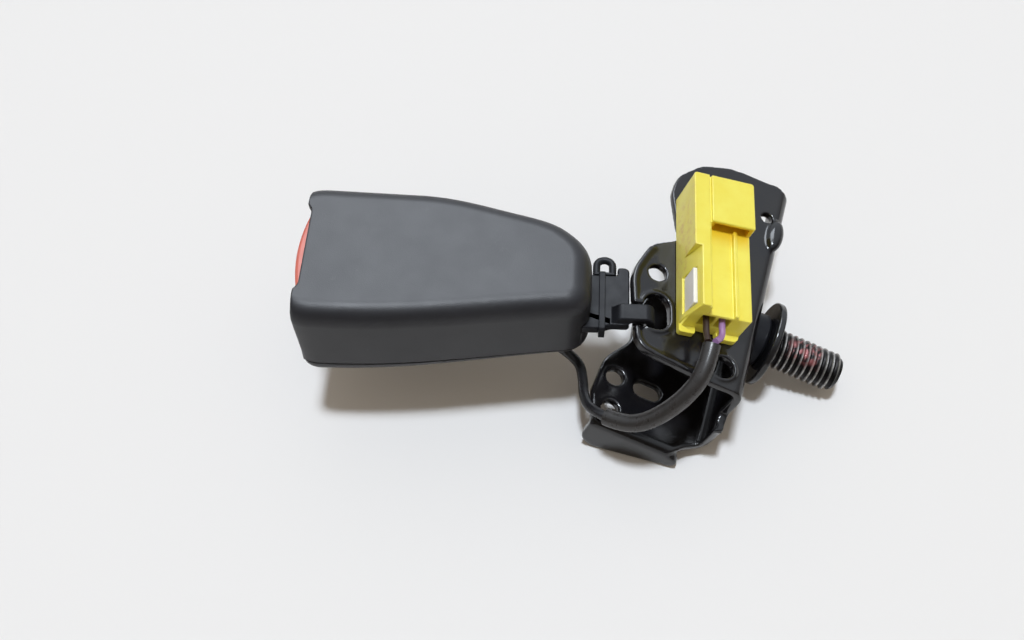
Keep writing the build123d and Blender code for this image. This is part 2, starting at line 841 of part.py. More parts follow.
with BuildPart() as anchor_bracket:
    with BuildSketch(bracket_section(lower_near - 5)):
        with BuildLine():
            outer = channel_line(0, blank_reach)
            inner = channel_line(sheet, blank_reach)
            Line(outer @ 0, inner @ 0)
            Line(outer @ 1, inner @ 1)
        make_face()
    extrude(amount=-channel_blank_length)
    add(channel_mask.part, mode=Mode.INTERSECT)

    # Holes and the hook slot in the upper flange
    with BuildSketch(flange_level(upper_face + 2)):
        with Locations(Location(hook_slot_centre, 90 + ear_slant)):
            SlotOverall(hook_slot_length, hook_slot_width)
        with Locations(near_hole_centre):
            Circle(near_hole_radius)
        with Locations(ear_hole_centre):
            Circle(ear_hole_radius)
        with Locations(far_hole_centre):
            Circle(far_hole_radius)
    extrude(amount=-channel_height / 2, mode=Mode.SUBTRACT)

    # Holes in the lower flange
    with BuildSketch(flange_level(lower_face - 2)):
        with Locations(*lower_hole_centres):
            Circle(ear_hole_radius)
        with Locations(lower_slot_centre):
            SlotOverall(lower_slot_length, lower_slot_width)
    extrude(amount=channel_height / 2, mode=Mode.SUBTRACT)

    # Hole for the bolt in the web
    with BuildSketch(web_plane(1)):
        Circle(bolt_radius + running_fit)
    extrude(amount=-bend_radius - sheet, mode=Mode.SUBTRACT)

    # Raised rim round the hook slot
    with BuildSketch(flange_level(upper_face)):
        with Locations(Location(hook_slot_centre, 90 + ear_slant)):
            SlotOverall(hook_slot_length + 2 * slot_rim, hook_slot_width + 2 * slot_rim)
            SlotOverall(hook_slot_length, hook_slot_width, mode=Mode.SUBTRACT)
    extrude(amount=slot_rim_height)

    # Drawn collar round the near hole
    with BuildSketch(flange_level(upper_face)):
        with Locations(near_hole_centre):
            Circle(near_hole_radius + near_hole_collar)
            Circle(near_hole_radius, mode=Mode.SUBTRACT)
    extrude(amount=slot_rim_height)

    # Bead pressed up along the ear's rim
    with BuildSketch(flange_level(upper_face)):
        with BuildLine():
            FilletPolyline(*upper_outline, radius=upper_radii, close=True)
        make_face()
        offset(amount=-ear_bead, mode=Mode.SUBTRACT)
        with Locations((bead_from, bead_to)):
            Rectangle(
                channel_reach,
                bead_to - web_near + 2 * ear_bead,
                align=(Align.MAX, Align.MAX),
                mode=Mode.INTERSECT,
            )
    extrude(amount=ear_bead_height)

    # Seat pressed into the ear's edge, where the strap's hook crosses it
    with BuildSketch(flange_level(upper_face - hook_seat_depth)):
        with Locations(Location(hook_seat_centre, ear_slant)):
            Rectangle(hook_seat_length, hook_seat_width)
    extrude(amount=2 * sheet, mode=Mode.SUBTRACT)

    # Lip turned down from the lower flange's near edge to the floor, with a rounded foot
    with BuildSketch(bracket_section(lower_near)):
        with BuildLine():
            FilletPolyline(
                (lip_left, lower_face + sheet / 2),
                (lip_right, lower_face + sheet / 2),
                (lip_right, floor_height(lip_right)),
                (lip_left, floor_height(lip_left)),
                radius=(0, 0, 0, lip_end_radius),
                close=True,
            )
        make_face()
        with Locations((lip_right + 1.2, floor_height(lip_right + 1.2) + foot_radius * 1.04)):
            Circle(foot_radius)
        with Locations(lip_slot_centre):
            SlotOverall(lip_slot_length, lip_slot_height, mode=Mode.SUBTRACT)
    extrude(amount=-sheet)

    # The lip's bend, rounded on its outside
    with BuildSketch(web_plane(lip_left - 4)):
        with Locations((lower_near + lip_bend / 2, lower_face + sheet - lip_bend / 2)):
            Rectangle(lip_bend, lip_bend)
        with Locations((lower_near + lip_bend, lower_face + sheet - lip_bend)):
            Circle(lip_bend, mode=Mode.SUBTRACT)
    extrude(amount=lip_right - lip_left + 6, mode=Mode.SUBTRACT)
finish(anchor_bracket, "anchor_bracket")

# ------------------------------------------------------------------ bolt, bush and washer
bolt_axis = Axis(bracket_point(0, 0, 0), bolt_direction)
head_bearing = -sheet - seat_gap
head_edge = 1.2
washer_from = bush_length + seat_gap
shank_end = washer_from + washer_sheet + shank_spare

with BuildPart() as anchor_bolt:
    with BuildSketch(bracket_section(0)):
        with BuildLine():
            Polyline(
                (head_bearing - bolt_head_height, 0),
                (head_bearing - bolt_head_height, bolt_head_radius - head_edge),
                (head_bearing - bolt_head_height + head_edge, bolt_head_radius),
                (head_bearing, bolt_head_radius),
                (head_bearing, bolt_radius),
                (shank_end, bolt_radius),
                (shank_end, bolt_radius - bolt_relief_depth),
                (shank_end + bolt_relief, bolt_radius - bolt_relief_depth),
                (shank_end + bolt_relief, bolt_radius),
                (bolt_tip - bolt_chamfer, bolt_radius),
                (bolt_tip, bolt_radius - bolt_chamfer),
                (bolt_tip, 0),
                close=True,
            )
        make_face()
    revolve(axis=bolt_axis)
    with BuildSketch(web_plane(head_bearing - bolt_head_height)):
        RegularPolygon(bolt_socket / 2, 6, major_radius=False)
    extrude(amount=bolt_head_height * 0.75, mode=Mode.SUBTRACT)
finish(anchor_bolt, "anchor_bolt")

with BuildPart() as spacer_bush:
    with BuildSketch(web_plane(0)):
        Circle(bush_radius)
        Circle(bolt_radius + running_fit, mode=Mode.SUBTRACT)
    extrude(amount=bush_length)
    bush_rims = spacer_bush.edges().filter_by(GeomType.CIRCLE).sort_by(bolt_axis)[-2:]
    chamfer(bush_rims.sort_by(SortBy.RADIUS)[-1], length=0.8)
finish(spacer_bush, "spacer_bush")

with BuildPart() as captive_washer:
    with BuildSketch(web_plane(washer_from)):
        Circle(washer_radius)
        Circle(bolt_radius + running_fit, mode=Mode.SUBTRACT)
    extrude(amount=washer_sheet)
    washer_rims = captive_washer.edges().filter_by(GeomType.CIRCLE).sort_by(SortBy.RADIUS)[-2:]
    fillet(washer_rims, radius=0.6)
finish(captive_washer, "captive_washer")

# ------------------------------------------------------------------ connector
cavity_z = 6.2
cavity_first = 5.8
window_from = 1.6
window_length = 11.0
window_bottom = 4.4
window_height = 6.6
window_depth = 2.6
lock_sheet = 1.7
lock_recess = 0.5
shoulder_length = 18.0
shoulder_width = 2.2
shoulder_bottom = 5.5
pocket_length = 4.6
rib_width = 1.1
rib_height = 1.2
rib_from_side = 4.6
seam_width = 0.6
seam_depth = 0.8
apron_reach = 2.0
apron_height = 2.0
foot_width = 4.5
apron_width = 6.4
apron_centre = 13.4
terminal_entry = 1.4
terminal_width = 2.4
terminal_height = 2.6
terminal_from = 5.0
terminal_length = 16.0
cavities = [cavity_first + index * cavity_pitch for index in range(2)]

with BuildPart() as connector_housing:
    with BuildSketch(connector_level(0)):
        with Locations((connector_width / 2, connector_length / 2)):
            RectangleRounded(connector_width, connector_length, 0.8)
    extrude(amount=connector_height)
    trough_width = connector_width - connector_rail
    trough_centre = connector_rail + trough_width / 2
    trough_floor = connector_height - connector_step
    with BuildSketch(connector_level(trough_floor)):
        with Locations((connector_width + 1, -1)):
            Rectangle(trough_width + 1, connector_step_length + 1, align=(Align.MAX, Align.MIN))
    extrude(amount=connector_step, mode=Mode.SUBTRACT)
    with BuildSketch(connector_level(trough_floor)):
        with Locations((trough_centre, connector_step_length + pocket_length / 2)):
            Rectangle(trough_width - 2 * connector_wall, pocket_length)
    extrude(amount=connector_step - connector_wall, mode=Mode.SUBTRACT)
    with BuildSketch(connector_level(trough_floor)):
        with Locations((connector_width - rib_from_side, connector_step_length)):
            Rectangle(rib_width, connector_step_length, align=(Align.CENTER, Align.MAX))
    extrude(amount=rib_height)
    with BuildSketch(connector_level(connector_height - seam_depth)):
        with Locations((connector_rail - seam_width, 0)):
            Rectangle(seam_width, connector_length + 1, align=(Align.MIN, Align.MIN))
    extrude(amount=connector_step, mode=Mode.SUBTRACT)

    # Shoulder that narrows the rail over the lock's window
    with BuildSketch(connector_face(-1)):
        with BuildLine():
            Polyline(
                (-1, shoulder_bottom),
                (0, shoulder_bottom),
                (shoulder_width, connector_height + 1),
                (-1, connector_height + 1),
                close=True,
            )
        make_face()
    extrude(amount=-shoulder_length - 1, mode=Mode.SUBTRACT)

    # Low apron in front of the wires, in two parts
    with BuildSketch(connector_level(0)):
        with Locations((foot_width / 2, 0)):
            RectangleRounded(foot_width, 2 * apron_reach, 0.8)
        with Locations((apron_centre, 0)):
            RectangleRounded(apron_width, 2 * apron_reach, 1.6)
    extrude(amount=apron_height)
    with BuildSketch(connector_face(0)):
        for cavity in cavities:
            with Locations((cavity, cavity_z)):
                Rectangle(cavity_width, cavity_height)
    extrude(amount=-cavity_depth, mode=Mode.SUBTRACT)
    with BuildSketch(connector_face(0)):
        for cavity in cavities:
            with Locations((cavity, cavity_z)):
                Rectangle(terminal_entry, terminal_entry)
    extrude(amount=-connector_length, mode=Mode.SUBTRACT)
    with BuildSketch(connector_level(window_bottom)):
        with Locations((window_depth / 2, window_from + window_length / 2)):
            Rectangle(window_depth, window_length)
    extrude(amount=window_height, mode=Mode.SUBTRACT)
finish(connector_housing, "connector_housing")

with BuildPart() as connector_lock:
    with BuildSketch(connector_level(window_bottom + part_fit)):
        with Locations((lock_recess + lock_sheet / 2, window_from + window_length / 2)):
            Rectangle(lock_sheet, window_length - 2 * part_fit)
    extrude(amount=window_height - 2 * part_fit)
finish(connector_lock, "connector_lock")

with BuildPart() as connector_terminals:
    for cavity in cavities:
        with BuildSketch(connector_level(cavity_z - cavity_height / 2 + seat_gap)):
            with Locations((cavity, terminal_from + terminal_length / 2)):
                Rectangle(terminal_width, terminal_length)
        extrude(amount=terminal_height)
finish(connector_terminals, "connector_terminals")


# ------------------------------------------------------------------ switch lead and cable
def corner_radii(points, share):
    """For each corner of a route, the arc that its two runs allow."""
    radii = []
    for before, corner, after in zip(points, points[1:], points[2:]):
        run_in = Vector(*corner) - Vector(*before)
        run_out = Vector(*after) - Vector(*corner)
        half_turn = radians(run_in.get_angle(run_out)) / 2
        radii.append(share * min(run_in.length, run_out.length) / tan(half_turn))
    return radii


def cord(points, radius, label, share=0.45):
    """A round tube of straight runs joined by tangent arcs along a route."""
    radii = corner_radii(points, share)
    with BuildPart() as tube:
        with BuildLine() as route:
            FilletPolyline(*points, radius=radii)
        spine = route.wires()[0]
        with BuildSketch(Plane(origin=spine @ 0, z_dir=spine % 0)):
            Circle(radius)
        sweep(path=spine)
    length = spine.length
    true_volume = pi * radius**2 * length
    print(
        label,
        f"length {length:.1f} volume ratio {tube.part.volume / true_volume:.4f}",
        "radii",
        [round(value, 1) for value in radii],
    )
    return tube


def along_connector(x, y, z):
    """A point in the connector's frame, in the object's frame, as a tuple."""
    point = connector_plane.from_local_coords(Vector(x, y, z))
    return (point.X, point.Y, point.Z)


lead_floor = mid_z - casing_rear_height / 2 + lead_exit[0] * casing_slope - seat_gap
grommet_flange = 1.0
cable_start = lead_floor - grommet_flange
lead_route = [
    place((-24.6, -10.6, 34.2)),
    place((-21.6, -10.6, 33.4)),
    place((-19.2, -9.4, 29.4)),
    place((-14.6, -7.4, 27.4)),
    place((lead_exit[0], lead_exit[1], 27.6)),
    place((lead_exit[0], lead_exit[1], cable_start)),
]
cable_route = [
    place((lead_exit[0], lead_exit[1], cable_start)),
    place((lead_exit[0], lead_exit[1], 17.6)),
    place((-5.6, -9.8, 14.0)),
    place((-2.0, -14.6, 12.8)),
    place((-0.6, -20.2, 13.6)),
    place((1.2, -25.6, 15.7)),
    place((5.4, -28.2, 17.0)),
]
sleeve_route = [
    place((5.4, -28.2, 17.0)),
    place((9.6, -30.8, 18.3)),
    place((15.0, -31.8, 20.9)),
    place((20.8, -30.4, 25.4)),
    place((26.0, -27.8, 30.8)),
    place((29.4, -23.4, 34.8)),
    place((30.7, -17.4, 37.0)),
]
sleeve_end = sleeve_route[-1]
wire_pitch = 0.95
wire_gather = 4.0
wire_gap = 0.9

switch_lead = cord(lead_route, lead_radius, "switch_lead", 0.3)
finish(switch_lead, "switch_lead")
switch_cable = cord(cable_route, cable_radius, "switch_cable")
finish(switch_cable, "switch_cable")
cable_sleeve = cord(sleeve_route, sleeve_radius, "cable_sleeve")
finish(cable_sleeve, "cable_sleeve")

for label, cavity, side in (("black_wire", cavities[0], -1), ("lilac_wire", cavities[1], 1)):
    wire_route = [
        along_connector(cavity, window_from, cavity_z),
        along_connector(cavity, -wire_gather, cavity_z),
        (sleeve_end[0] + side * wire_pitch, sleeve_end[1] + wire_gap, sleeve_end[2]),
    ]
    wire = cord(wire_route, wire_radius, label)
    finish(wire, label)

with BuildPart() as lead_grommet:
    with BuildSketch(level(cable_start)):
        with Locations(lead_exit):
            Circle(grommet_radius + 0.8)
            Circle(lead_radius + running_fit, mode=Mode.SUBTRACT)
    extrude(amount=grommet_flange)
    with BuildSketch(level(lead_floor)):
        with Locations(lead_exit):
            Circle(grommet_radius - part_fit / 2)
            Circle(lead_radius + running_fit, mode=Mode.SUBTRACT)
    extrude(amount=casing_wall)
finish(lead_grommet, "lead_grommet")
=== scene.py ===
# %% [markdown]
# # A seat belt buckle on its anchor bracket
#
# The buckle rests on its bracket on a pale table: a grained black casing with a red button, a steel
# strap that hooks into a glossy stamped bracket, the big anchor bolt, and a yellow connector on a
# short cable. The solids come from a CAD model. This file gives them their finishes, and replaces
# the pieces whose small shapes the CAD leaves out, such as the bolt's thread and the rounded edges
# of the mouldings.

# %% Load the CAD model
import json
import math

import bmesh
import bpy
from mathutils import Matrix, Vector


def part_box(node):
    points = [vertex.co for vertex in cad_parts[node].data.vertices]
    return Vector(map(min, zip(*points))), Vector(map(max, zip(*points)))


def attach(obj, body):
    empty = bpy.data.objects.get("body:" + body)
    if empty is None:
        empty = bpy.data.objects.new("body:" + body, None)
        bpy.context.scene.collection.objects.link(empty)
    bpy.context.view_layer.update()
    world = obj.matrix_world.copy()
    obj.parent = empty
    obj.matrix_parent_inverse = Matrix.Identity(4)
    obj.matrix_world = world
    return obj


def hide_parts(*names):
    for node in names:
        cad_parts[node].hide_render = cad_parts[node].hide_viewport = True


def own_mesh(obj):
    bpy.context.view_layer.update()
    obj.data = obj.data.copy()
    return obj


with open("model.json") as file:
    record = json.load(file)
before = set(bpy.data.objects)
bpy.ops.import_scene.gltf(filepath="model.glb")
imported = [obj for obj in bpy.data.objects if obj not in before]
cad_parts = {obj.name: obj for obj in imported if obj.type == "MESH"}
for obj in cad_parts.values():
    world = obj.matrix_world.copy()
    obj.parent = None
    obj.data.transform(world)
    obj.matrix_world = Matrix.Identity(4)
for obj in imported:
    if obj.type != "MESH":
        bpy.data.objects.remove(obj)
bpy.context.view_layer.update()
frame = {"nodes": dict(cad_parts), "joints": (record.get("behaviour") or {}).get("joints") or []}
nodes = frame["nodes"]
MM = 0.001

# %% [markdown]
# ## Places
#
# Every place below is worked out from the CAD, so that the new pieces stay with the solids. The
# casing's rear end is the zero of the buckle's own millimetres. The bracket and the bolt are
# tilted, so they get a frame of their own from the bolt's joint, and the connector gets one from
# the joint of its white lock.

# %% Places taken from the CAD
CONNECTOR_CORNER = (-22.6, -15.6, 12.35)
casing_low, casing_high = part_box("upper_cover")
casing_middle_y = (casing_low.y + casing_high.y) / 2
rear_end = Vector((casing_high.x, casing_middle_y, 0))
joints = {joint["name"]: joint for joint in frame["joints"]}


def at(x, y, z):
    """A point given in millimetres from the casing's rear end."""
    return rear_end + Vector((x, y, z)) * MM


def tilted_frame(origin, along, up=None):
    """A 4x4 whose first column runs along a direction and whose second is square to up."""
    along = Vector(along).normalized()
    across = (up or Vector((0, 0, 1))).cross(along).normalized()
    over = along.cross(across)
    columns = Matrix((along, across, over)).transposed().to_4x4()
    columns.translation = origin
    return columns


bolt_joint = joints["bolt_spin"]
bracket_frame = tilted_frame(Vector(bolt_joint["pos_m"]), bolt_joint["axis"])
connector_frame = tilted_frame(
    bracket_frame @ (Vector(CONNECTOR_CORNER) * MM),
    -Vector(joints["connector_lock_slide"]["axis"]),
    bracket_frame.col[2].to_3d(),
)
print("The bolt points along", [round(v, 3) for v in bracket_frame.col[0].to_3d()])

# %% [markdown]
# ## Camera
#
# The buckle is seen from above and in front with a slightly long lens. A camera could be typed in
# by its place and its turns, but an angle round the object, an angle above the table and a distance
# are easier to think about. The camera is put there and then turned to look at one point.

# %% Camera
VIEW_AZIMUTH = 3.0
VIEW_ELEVATION = 55.5
VIEW_DISTANCE = 311.0
LENS = 42.2
look_at = at(-20.2, -10.5, 34.0)
azimuth = math.radians(VIEW_AZIMUTH)
elevation = math.radians(VIEW_ELEVATION)
toward_camera = Vector(
    (
        math.sin(azimuth) * math.cos(elevation),
        -math.cos(azimuth) * math.cos(elevation),
        math.sin(elevation),
    )
)
camera_data = bpy.data.cameras.new("camera")
camera_data.lens = LENS
camera_data.sensor_width = 36.0
camera_data.clip_start = 0.01
camera = bpy.data.objects.new("camera", camera_data)
camera.location = look_at + toward_camera * VIEW_DISTANCE * MM
camera.rotation_euler = (-toward_camera).to_track_quat("-Z", "Y").to_euler()
bpy.context.scene.collection.objects.link(camera)
bpy.context.scene.camera = camera
print("The camera stands at", [round(v, 3) for v in camera.location], "metres")

# %% [markdown]
# ## Cable and sleeve
#
# A cable is a curve, not a bent cylinder: a few control points steer it, and its thickness is a
# bevel on the curve. The sleeve starts where the bare cable ends. The thin black and lilac wires at
# the connector are so short that their CAD solids serve.

# %% Routes in millimetres from the casing's rear end
CABLE_DIAMETER = 2.8
SLEEVE_DIAMETER = 4.8
cable_route = [
    (-9.5, -6.0, 22.15),
    (-9.5, -6.0, 17.8),
    (-5.4, -6.6, 14.2),
    (-1.6, -9.6, 13.0),
    (-0.7, -14.8, 13.0),
    (-0.5, -20.2, 13.7),
    (1.3, -25.7, 15.8),
    (5.4, -28.2, 17.0),
]
sleeve_route = [
    (5.4, -28.2, 17.0),
    (9.6, -30.8, 18.3),
    (15.0, -31.8, 20.9),
    (20.8, -30.4, 25.4),
    (26.0, -27.8, 30.8),
    (29.4, -23.4, 34.8),
    (30.7, -17.4, 37.0),
]


def smooth_curve(name, points, diameter):
    """A NURBS curve through metres. Its points hold the radius, which the bevel multiplies by one."""
    curve = bpy.data.curves.new(name, "CURVE")
    curve.dimensions = "3D"
    spline = curve.splines.new("NURBS")
    spline.points.add(len(points) - 1)
    for knot, point in zip(spline.points, points):
        knot.co = (*point, 1.0)
        knot.radius = diameter / 2
    spline.order_u = 3
    spline.use_endpoint_u = True
    spline.resolution_u = 12
    curve.bevel_depth = 1.0
    curve.bevel_resolution = 6
    curve.use_fill_caps = True
    piece = bpy.data.objects.new(name, curve)
    bpy.context.scene.collection.objects.link(piece)
    return piece


cable = smooth_curve("cable", [at(*point) for point in cable_route], CABLE_DIAMETER * MM)
sleeve = smooth_curve("sleeve", [at(*point) for point in sleeve_route], SLEEVE_DIAMETER * MM)
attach(cable, "buckle")
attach(sleeve, "buckle")
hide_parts("switch_cable")
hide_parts("cable_sleeve")
print("Cable and sleeve follow", len(cable_route), "and", len(sleeve_route), "points")

# %% [markdown]
# ## Table
#
# One large plain sheet just under the buckle takes its shadow. A pale matt paint keeps it from
# showing the lamps.

# %% Table
TABLE_PALE = (0.80, 0.80, 0.80)
table_mesh = bpy.data.meshes.new("table")
work = bmesh.new()
bmesh.ops.create_grid(work, x_segments=1, y_segments=1, size=3.0)
work.to_mesh(table_mesh)
work.free()
table = bpy.data.objects.new("table", table_mesh)
table.location = (0, 0, -0.0002)
bpy.context.scene.collection.objects.link(table)


def new_material(name):
    """A material with its node tree, and the shader at its end."""
    material = bpy.data.materials.new(name)
    material.use_nodes = True
    return material, material.node_tree, material.node_tree.nodes["Principled BSDF"]


table_paint, tree, shader = new_material("table paint")
shader.inputs["Base Color"].default_value = (*TABLE_PALE, 1)
shader.inputs["Roughness"].default_value = 0.7
shader.inputs["Specular IOR Level"].default_value = 0.2
table_mesh.materials.append(table_paint)
print("The table is", [round(size, 1) for size in table.dimensions[:2]], "metres")

# %% [markdown]
# ## Node helpers
#
# The world and the finishes are small networks of nodes. The same four steps come back in all of
# them, so each is a function: combine two values, stretch a value between two others, mix two
# colours, and make noise.


# %% Helpers for node networks
def combine(tree, operation, first, second):
    """Two values through a Math node."""
    node = tree.nodes.new("ShaderNodeMath")
    node.operation = operation
    tree.links.new(first, node.inputs[0])
    tree.links.new(second, node.inputs[1])
    return node.outputs[0]


def product(tree, first, second):
    """Multiply two patterns."""
    return combine(tree, "MULTIPLY", first, second)


def remap(tree, value, from_low, from_high, to_low, to_high):
    """Stretch a pattern from one pair of values to another."""
    node = tree.nodes.new("ShaderNodeMapRange")
    node.inputs["From Min"].default_value = from_low
    node.inputs["From Max"].default_value = from_high
    node.inputs["To Min"].default_value = to_low
    node.inputs["To Max"].default_value = to_high
    tree.links.new(value, node.inputs["Value"])
    return node.outputs["Result"]


def mix_colors(tree, factor, first, second):
    """Mix two colours by a pattern. Each is three plain numbers or another node's output."""
    mix = tree.nodes.new("ShaderNodeMix")
    mix.data_type = "RGBA"
    for socket, color in (("A", first), ("B", second)):
        if isinstance(color, tuple):
            mix.inputs[socket].default_value = (*color, 1)
        else:
            tree.links.new(color, mix.inputs[socket])
    tree.links.new(factor, mix.inputs["Factor"])
    return mix.outputs["Result"]


def pattern_noise(tree, scale, detail=2.0, roughness=0.5):
    """Noise in the piece's own space. A scale of 1000 gives spots about a millimetre apart."""
    spot = tree.nodes.new("ShaderNodeTexCoord")
    noise = tree.nodes.new("ShaderNodeTexNoise")
    noise.inputs["Scale"].default_value = scale
    noise.inputs["Detail"].default_value = detail
    noise.inputs["Roughness"].default_value = roughness
    tree.links.new(spot.outputs["Object"], noise.inputs["Vector"])
    return noise.outputs["Fac"]


# %% [markdown]
# ## World
#
# The world could be one pale colour, but then black plastic would mirror it and turn grey. What
# each kind of ray sees is set apart instead: the camera sees white paper, soft light comes warm and
# dim, and reflections see a bright window behind and a dim room in front, so that the tops get
# their sheen and the rolled edges turn dark.

# %% World
PAPER = (1.0, 1.0, 1.0)
PAPER_STRENGTH = 0.86
AMBIENT_STRENGTH = 0.38
WARM = (1.0, 0.86, 0.70)
WINDOW_SIDE = (0.0, 0.55, 0.83)
WINDOW_EDGE = 0.9
WINDOW_LIGHT = (1.12, 1.2, 1.3)
ROOM_LIGHT = (0.16, 0.14, 0.12)
world = bpy.data.worlds.new("studio")
world.use_nodes = True
bpy.context.scene.world = world
tree = world.node_tree
background = tree.nodes["Background"]
rays = tree.nodes.new("ShaderNodeLightPath").outputs
sharp_rays = combine(tree, "MAXIMUM", rays["Is Camera Ray"], rays["Is Glossy Ray"])
sharp_rays = combine(tree, "MAXIMUM", sharp_rays, rays["Is Transmission Ray"])
strength = remap(tree, sharp_rays, 0.0, 1.0, AMBIENT_STRENGTH, PAPER_STRENGTH)
tree.links.new(strength, background.inputs["Strength"])
direction = tree.nodes.new("ShaderNodeTexCoord")
toward_window = tree.nodes.new("ShaderNodeVectorMath")
toward_window.operation = "DOT_PRODUCT"
toward_window.inputs[1].default_value = WINDOW_SIDE
tree.links.new(direction.outputs["Generated"], toward_window.inputs[0])
fade = remap(tree, toward_window.outputs["Value"], 0.0, WINDOW_EDGE, 0.0, 1.0)
fade.node.interpolation_type = "SMOOTHSTEP"
mirrored = mix_colors(tree, fade, ROOM_LIGHT, WINDOW_LIGHT)
lit = mix_colors(tree, rays["Is Glossy Ray"], WARM, mirrored)
shown = mix_colors(tree, rays["Is Camera Ray"], lit, PAPER)
tree.links.new(shown, background.inputs["Color"])
print("The world has", len(tree.nodes), "nodes")

# %% [markdown]
# ## Lamps
#
# A cool lamp overhead draws the shadow. It is a sun, whose light is even over the whole table,
# where an area lamp would leave the far side darker. A softbox that only reflections see stands for
# the window.

# %% Lamps
COOL = (0.93, 1.0, 1.085)
SOFTBOX_PLACE = Vector((-0.1, 0.55, 0.8))
OVERHEAD_BEAM = Vector((0.04, 0.02, -0.95))


def add_lamp(name, kind, energy, beam):
    """A cool lamp of a kind that shines along a direction."""
    lamp = bpy.data.lights.new(name, kind)
    lamp.energy = energy
    lamp.color = COOL
    holder = bpy.data.objects.new(name, lamp)
    holder.rotation_euler = beam.to_track_quat("-Z", "Y").to_euler()
    bpy.context.scene.collection.objects.link(holder)
    return holder


window = add_lamp("window softbox", "AREA", 8.0, -SOFTBOX_PLACE)
window.data.size = 0.6
window.location = look_at + SOFTBOX_PLACE
window.visible_diffuse = False
overhead = add_lamp("overhead lamp", "SUN", 2.3, OVERHEAD_BEAM)
overhead.data.angle = math.radians(8.0)
print("Lamps:", window.name, "and", overhead.name)

# %% [markdown]
# ## Finishes
#
# Each finish is a Principled shader with small procedural noise: a real moulding has grain, a
# dipped coat has runs and dust, and a used bolt has bright flanks. Patterns read Object
# coordinates, so their size is in metres and they stay on the piece when it moves.


# %% Plastic, coat and metal
def emboss(tree, shader, height, strength, distance):
    """Raise the surface by a pattern; distance is in metres."""
    bump = tree.nodes.new("ShaderNodeBump")
    bump.inputs["Strength"].default_value = strength
    bump.inputs["Distance"].default_value = distance
    tree.links.new(height, bump.inputs["Height"])
    tree.links.new(bump.outputs["Normal"], shader.inputs["Normal"])


def moulded(
    name, color, other, roughness, grain=2600.0, depth=0.00003, patch=140.0, gloss=0.5, cloud=0.06
):
    """Moulded plastic or paint with a fine grain and slow patches of a second shade."""
    material, tree, shader = new_material(name)
    shader.inputs["Specular IOR Level"].default_value = gloss
    patches = remap(tree, pattern_noise(tree, patch, 4.0, 0.6), 0.35, 0.7, 0.0, 1.0)
    tree.links.new(mix_colors(tree, patches, color, other), shader.inputs["Base Color"])
    clouds = pattern_noise(tree, patch * 2.3, 3.0)
    rough = remap(tree, clouds, 0.3, 0.7, roughness - cloud, roughness + cloud)
    tree.links.new(rough, shader.inputs["Roughness"])
    emboss(tree, shader, pattern_noise(tree, grain), 0.5, depth)
    return material


def metal(name, color, other, roughness):
    """Bare or plated metal with cloudy wear."""
    material = moulded(name, color, other, roughness, grain=3500.0, depth=0.00001, patch=500.0)
    material.node_tree.nodes["Principled BSDF"].inputs["Metallic"].default_value = 1.0
    return material


# %% Finishes that show
casing_grain = moulded(
    "grained casing plastic",
    (0.015, 0.015, 0.018),
    (0.020, 0.020, 0.023),
    roughness=0.43,
    grain=3400.0,
    depth=0.00006,
    patch=60.0,
    gloss=0.4,
    cloud=0.02,
)
button_red = moulded(
    "button red", (0.66, 0.15, 0.10), (0.58, 0.12, 0.08), roughness=0.4, grain=2800.0, depth=0.00002
)
dip_coat = moulded(
    "bracket dip coat",
    (0.006, 0.006, 0.008),
    (0.011, 0.010, 0.010),
    roughness=0.17,
    grain=900.0,
    depth=0.00002,
    patch=90.0,
)
strap_coat = moulded(
    "strap coat",
    (0.012, 0.013, 0.016),
    (0.008, 0.008, 0.010),
    roughness=0.40,
    grain=1800.0,
    gloss=0.14,
)
washer_black = moulded(
    "washer coat",
    (0.007, 0.007, 0.008),
    (0.013, 0.012, 0.012),
    roughness=0.16,
    grain=1500.0,
    depth=0.00002,
)
connector_yellow = moulded(
    "connector yellow",
    (0.88, 0.80, 0.12),
    (0.84, 0.72, 0.07),
    roughness=0.34,
    grain=2400.0,
    depth=0.00001,
    patch=120.0,
)
lock_white = moulded("lock white", (0.90, 0.89, 0.85), (0.84, 0.83, 0.79), roughness=0.35)
cable_black = moulded(
    "cable sheath",
    (0.010, 0.010, 0.012),
    (0.018, 0.017, 0.018),
    roughness=0.3,
    grain=1600.0,
    depth=0.00002,
)
sleeve_vinyl = moulded(
    "vinyl sleeve",
    (0.024, 0.022, 0.021),
    (0.034, 0.031, 0.030),
    roughness=0.3,
    grain=1400.0,
    depth=0.00002,
    patch=260.0,
)
wire_black = moulded("black wire", (0.028, 0.014, 0.012), (0.045, 0.024, 0.018), roughness=0.35)
wire_lilac = moulded("lilac wire", (0.36, 0.20, 0.42), (0.30, 0.15, 0.36), roughness=0.38)

# %% Finishes inside the casing
guide_plastic = moulded(
    "guide plastic", (0.018, 0.018, 0.019), (0.026, 0.026, 0.027), roughness=0.45
)
acetal = moulded("acetal", (0.72, 0.72, 0.69), (0.66, 0.66, 0.62), roughness=0.35)
switch_black = moulded("switch plastic", (0.03, 0.03, 0.032), (0.045, 0.045, 0.047), roughness=0.45)
board_green = moulded("circuit board", (0.03, 0.16, 0.07), (0.02, 0.11, 0.05), roughness=0.4)
grommet_rubber = moulded("grommet rubber", (0.02, 0.02, 0.02), (0.03, 0.03, 0.03), roughness=0.6)
zinc_plate = metal("zinc plate", (0.56, 0.56, 0.57), (0.42, 0.42, 0.44), roughness=0.35)
spring_wire = metal("spring wire", (0.6, 0.6, 0.61), (0.5, 0.5, 0.52), roughness=0.25)
magnet_grey = metal("magnet", (0.2, 0.2, 0.21), (0.14, 0.14, 0.15), roughness=0.4)
terminal_tin = metal("tinned brass", (0.72, 0.66, 0.52), (0.6, 0.52, 0.36), roughness=0.3)
print(len(bpy.data.materials), "materials so far")

